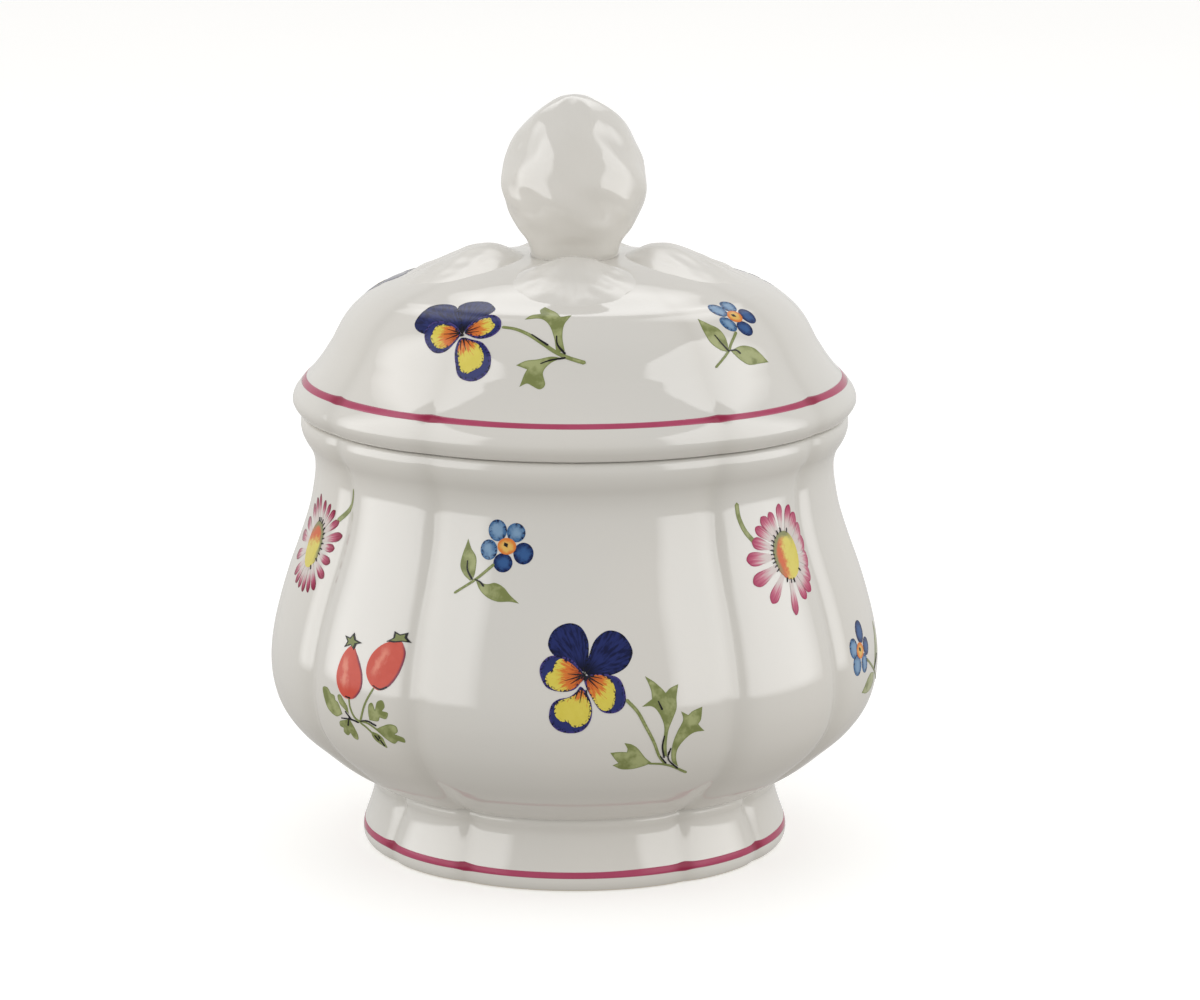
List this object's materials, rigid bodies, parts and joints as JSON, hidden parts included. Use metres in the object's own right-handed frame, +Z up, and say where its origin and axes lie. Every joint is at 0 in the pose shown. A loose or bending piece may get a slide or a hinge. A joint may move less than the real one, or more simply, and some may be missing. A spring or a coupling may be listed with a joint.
{
  "type": "sugar bowl",
  "caption": "Pot-bellied porcelain sugar bowl on a foot ring, with a domed lift-off lid, a bud-shaped knob with four leaves and painted flower sprigs.",
  "frame": {"origin": "centre of the flat standing face under the foot ring", "axes": "+Z up along the bowl's axis, -Y to the front panel with the large pansy"},
  "size_m": [0.1, 0.1, 0.1237],
  "materials": {
    "glazed_porcelain": "gloss",
    "painted_enamel": "gloss"
  },
  "bodies": {
    "bowl": {"bowl": "glazed_porcelain", "foot_ring": "glazed_porcelain"},
    "lid": {"lid": "glazed_porcelain", "locating_ring": "glazed_porcelain", "knob": "glazed_porcelain", "leaf_front": "glazed_porcelain", "leaf_back": "glazed_porcelain", "leaf_left": "glazed_porcelain", "leaf_right": "glazed_porcelain"}
  },
  "joints": [
    {"name": "lid_lift", "type": "slide", "parent": "bowl", "child": "lid", "axis": [0, 0, 1], "range_m": [0, 0.08]}
  ]
}
